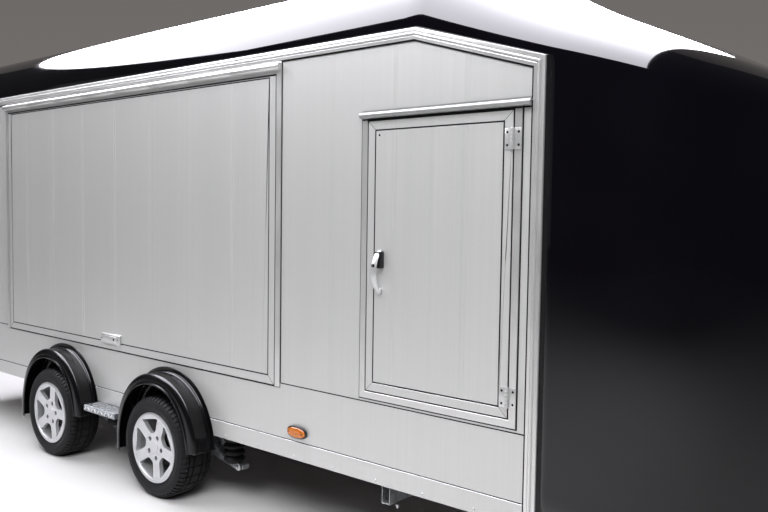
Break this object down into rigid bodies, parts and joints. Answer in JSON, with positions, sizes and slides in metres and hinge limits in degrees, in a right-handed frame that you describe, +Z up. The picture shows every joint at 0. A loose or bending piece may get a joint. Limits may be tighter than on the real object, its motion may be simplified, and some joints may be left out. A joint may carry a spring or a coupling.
{
  "type": "enclosed twin-axle box trailer",
  "caption": "Long enclosed box trailer with plank sides, glossy moulded roof and nose, lift-up side door, entry door and rear ramp.",
  "frame": {"origin": "centre of the bounding box's underside, on the ground between the wheels' sides", "axes": "+X forwards to the coupling, +Y to the trailer's left, +Z up"},
  "size_m": [6.636, 2.32, 2.6408],
  "materials": {
    "aluminium_panel": "satin anodised extruded planks",
    "aluminium_profile": "satin anodised extrusions",
    "black_gelcoat": "high gloss gelcoat on moulded fibreglass",
    "black_plastic": "moulded, semi-matt",
    "tyre_rubber": "matt black rubber",
    "spring_rubber": "ribbed moulded rubber",
    "silver_rim_paint": "silver metallic paint",
    "galvanised_steel": "hot-dip galvanised",
    "stainless_steel": "polished stainless steel",
    "chequer_plate": "raised chequer pattern",
    "plywood_deck": "phenol-faced plywood, brown",
    "amber_lens": "moulded amber lens",
    "red_lens": "moulded red lens",
    "cast_coupling": "black powder coat"
  },
  "bodies": {
    "trailer_body": {"side_sill_right": "aluminium_panel", "side_sill_left": "aluminium_panel", "rear_wall_right": "aluminium_panel", "front_wall_right": "aluminium_panel", "side_wall_left": "aluminium_panel", "wheel_box_right": "aluminium_panel", "wheel_box_left": "aluminium_panel", "edge_trim_right": "aluminium_profile", "edge_trim_left": "aluminium_profile", "side_door_frame": "aluminium_profile", "entry_door_frame": "aluminium_profile", "rain_gutter": "aluminium_profile", "rear_frame": "aluminium_profile", "roof_shell": "black_gelcoat", "nose_shell": "black_gelcoat", "mudguard_front_right": "black_plastic", "mudguard_front_left": "black_plastic", "mudguard_rear_right": "black_plastic", "mudguard_rear_left": "black_plastic", "lamp_bar": "black_plastic", "spring_front_right": "spring_rubber", "spring_front_left": "spring_rubber", "spring_rear_right": "spring_rubber", "spring_rear_left": "spring_rubber", "chassis_frame": "galvanised_steel", "drawbar_right": "galvanised_steel", "drawbar_left": "galvanised_steel", "overrun_unit": "galvanised_steel", "brake_lever": "galvanised_steel", "cross_tube": "galvanised_steel", "jockey_tube": "galvanised_steel", "axle_front": "galvanised_steel", "axle_rear": "galvanised_steel", "entry_hinge_upper": "stainless_steel", "entry_hinge_lower": "stainless_steel", "step_plate_right": "chequer_plate", "step_plate_left": "chequer_plate", "load_floor": "plywood_deck", "side_marker_right": "amber_lens", "side_marker_left": "amber_lens", "rear_lamp_right": "red_lens", "rear_lamp_left": "red_lens", "coupling_head": "cast_coupling"},
    "wheel_front_right": {"tyre_front_right": "tyre_rubber", "rim_front_right": "silver_rim_paint"},
    "wheel_front_left": {"tyre_front_left": "tyre_rubber", "rim_front_left": "silver_rim_paint"},
    "wheel_rear_right": {"tyre_rear_right": "tyre_rubber", "rim_rear_right": "silver_rim_paint"},
    "wheel_rear_left": {"tyre_rear_left": "tyre_rubber", "rim_rear_left": "silver_rim_paint"},
    "side_door_leaf": {"side_access_door": "aluminium_panel", "side_door_latch": "aluminium_profile"},
    "entry_door_leaf": {"entry_door": "aluminium_panel", "door_handle": "stainless_steel"},
    "ramp_leaf": {"rear_ramp": "aluminium_panel"},
    "jockey_lift_tube": {"jockey_leg": "galvanised_steel"},
    "jockey_caster": {"jockey_fork": "galvanised_steel"},
    "jockey_roller": {"jockey_wheel": "tyre_rubber"}
  },
  "joints": [
    {"name": "wheel_front_right_spin", "type": "hinge", "parent": "trailer_body", "child": "wheel_front_right", "pos_m": [-0.522, -1.0585, 0.2625], "axis": [0, 1, 0], "continuous": true},
    {"name": "wheel_front_left_spin", "type": "hinge", "parent": "trailer_body", "child": "wheel_front_left", "pos_m": [-0.522, 1.0585, 0.2625], "axis": [0, 1, 0], "continuous": true},
    {"name": "wheel_rear_right_spin", "type": "hinge", "parent": "trailer_body", "child": "wheel_rear_right", "pos_m": [-1.582, -1.0585, 0.2625], "axis": [0, 1, 0], "continuous": true},
    {"name": "wheel_rear_left_spin", "type": "hinge", "parent": "trailer_body", "child": "wheel_rear_left", "pos_m": [-1.582, 1.0585, 0.2625], "axis": [0, 1, 0], "continuous": true},
    {"name": "side_door_swing", "type": "hinge", "parent": "trailer_body", "child": "side_door_leaf", "pos_m": [-1.062, -1.058, 2.108], "axis": [-1, 0, 0], "range_deg": [0, 95]},
    {"name": "entry_door_swing", "type": "hinge", "parent": "trailer_body", "child": "entry_door_leaf", "pos_m": [1.5, -1.055, 1.162], "axis": [0, 0, 1], "range_deg": [0, 120]},
    {"name": "ramp_swing", "type": "hinge", "parent": "trailer_body", "child": "ramp_leaf", "pos_m": [-3.305, 0, 0.439], "axis": [0, -1, 0], "range_deg": [0, 102.5]},
    {"name": "jockey_lift", "type": "slide", "parent": "trailer_body", "child": "jockey_lift_tube", "axis": [0, 0, 1], "range_m": [0, 0.05]},
    {"name": "jockey_swivel", "type": "hinge", "parent": "jockey_lift_tube", "child": "jockey_caster", "pos_m": [2.808, 0.115, 0.24], "axis": [0, 0, 1], "continuous": true},
    {"name": "jockey_wheel_spin", "type": "hinge", "parent": "jockey_caster", "child": "jockey_roller", "pos_m": [2.773, 0.115, 0.1], "axis": [0, 1, 0], "continuous": true}
  ]
}
